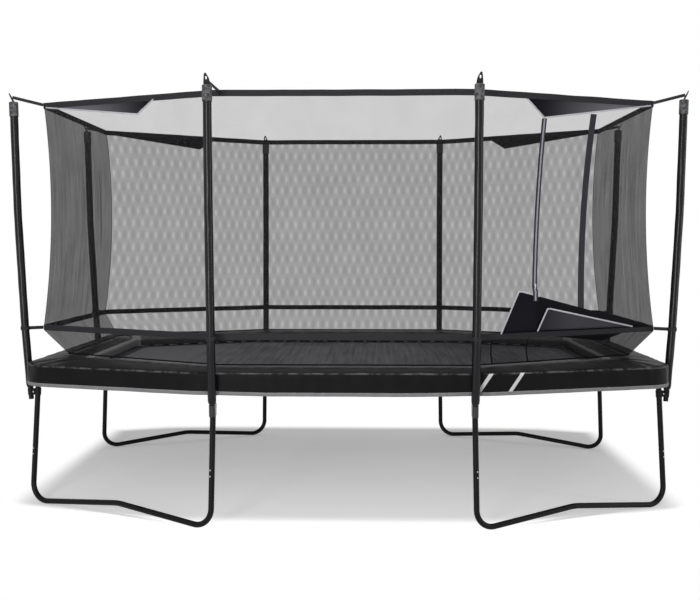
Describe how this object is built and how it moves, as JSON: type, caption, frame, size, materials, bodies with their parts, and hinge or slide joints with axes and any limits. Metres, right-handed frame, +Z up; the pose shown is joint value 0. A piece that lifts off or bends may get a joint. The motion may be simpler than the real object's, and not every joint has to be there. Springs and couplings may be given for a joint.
{
  "type": "trampoline",
  "caption": "Free-standing rectangular garden trampoline with rounded corners, padded edge, curved poles and a closed safety net with a zipped corner entrance.",
  "frame": {"origin": "centre of the frame on the floor plane that its foot tubes stand on", "axes": "+X along the long side, +Y towards the back, +Z up; the entrance is on the corner face at +X -Y"},
  "size_m": [4.3856, 2.9684, 2.683],
  "materials": {
    "frame_steel": "semi-gloss black powder coat",
    "zinc": "galvanised",
    "sleeve_cloth": "black coated sleeve over foam",
    "cap_plastic": "mottled grey",
    "webbing": "woven black webbing",
    "pad_vinyl": "black coated cloth, slight sheen",
    "light_trim": "light grey binding",
    "mat_weave": "woven polypropylene",
    "net_mesh": "fine open mesh",
    "panel_cloth": "dark navy cloth"
  },
  "bodies": {
    "frame": {"rail_front": "frame_steel", "rail_back": "frame_steel", "rail_corner_front_left": "frame_steel", "rail_corner_front_right": "frame_steel", "rail_corner_back_left": "frame_steel", "rail_corner_back_right": "frame_steel", "leg_front_left": "frame_steel", "leg_front_right": "frame_steel", "leg_back_left": "frame_steel", "leg_back_right": "frame_steel", "leg_left_front": "frame_steel", "leg_left_back": "frame_steel", "leg_right_front": "frame_steel", "leg_right_back": "frame_steel", "foot_front_left": "frame_steel", "foot_front_right": "frame_steel", "foot_back_left": "frame_steel", "foot_back_right": "frame_steel", "pole_front_left": "frame_steel", "pole_front_right": "frame_steel", "pole_back_left": "frame_steel", "pole_back_right": "frame_steel", "pole_left_front": "frame_steel", "pole_left_back": "frame_steel", "pole_right_front": "frame_steel", "pole_right_back": "frame_steel", "pole_sleeves": "sleeve_cloth", "pole_caps": "cap_plastic", "pole_loops": "webbing", "side_clamps": "frame_steel", "long_clamps": "zinc", "bolts": "zinc", "springs": "zinc", "pad_front": "pad_vinyl", "pad_back": "pad_vinyl", "pad_corner_front_left": "pad_vinyl", "pad_corner_front_right": "pad_vinyl", "pad_corner_back_left": "pad_vinyl", "pad_corner_back_right": "pad_vinyl", "pad_hem": "light_trim", "pad_inner_trim": "light_trim", "net_front": "net_mesh", "net_back": "net_mesh", "net_left": "net_mesh", "net_right": "net_mesh", "net_front_left": "net_mesh", "net_front_right": "net_mesh", "net_back_left": "net_mesh", "net_back_right": "net_mesh", "top_band": "webbing", "lower_band": "webbing", "corner_panels": "panel_cloth", "door_tapes": "panel_cloth", "entrance_panels": "panel_cloth", "pole_straps": "webbing"},
    "jumping_mat": {"mat": "mat_weave", "mat_border": "webbing", "mat_rings": "zinc"},
    "zip_slider": {"zip_slider": "zinc"},
    "door": {"entrance_door": "net_mesh"}
  },
  "joints": [
    {"name": "mat_bounce", "type": "slide", "parent": "frame", "child": "jumping_mat", "axis": [0, 0, -1], "range_m": [0, 0.25], "stiffness_N_per_m": 6000, "springref_m": -0.02, "deforming": ["springs"]},
    {"name": "zip_pull", "type": "slide", "parent": "frame", "child": "zip_slider", "axis": [0.0527, 0.0356, 0.998], "range_m": [0, 1]},
    {"name": "door_swing", "type": "hinge", "parent": "frame", "child": "door", "pos_m": [1.44569, -0.95102, 1.43162], "axis": [0.0654, 0.0383, 0.9971], "range_deg": [0, 80]}
  ]
}
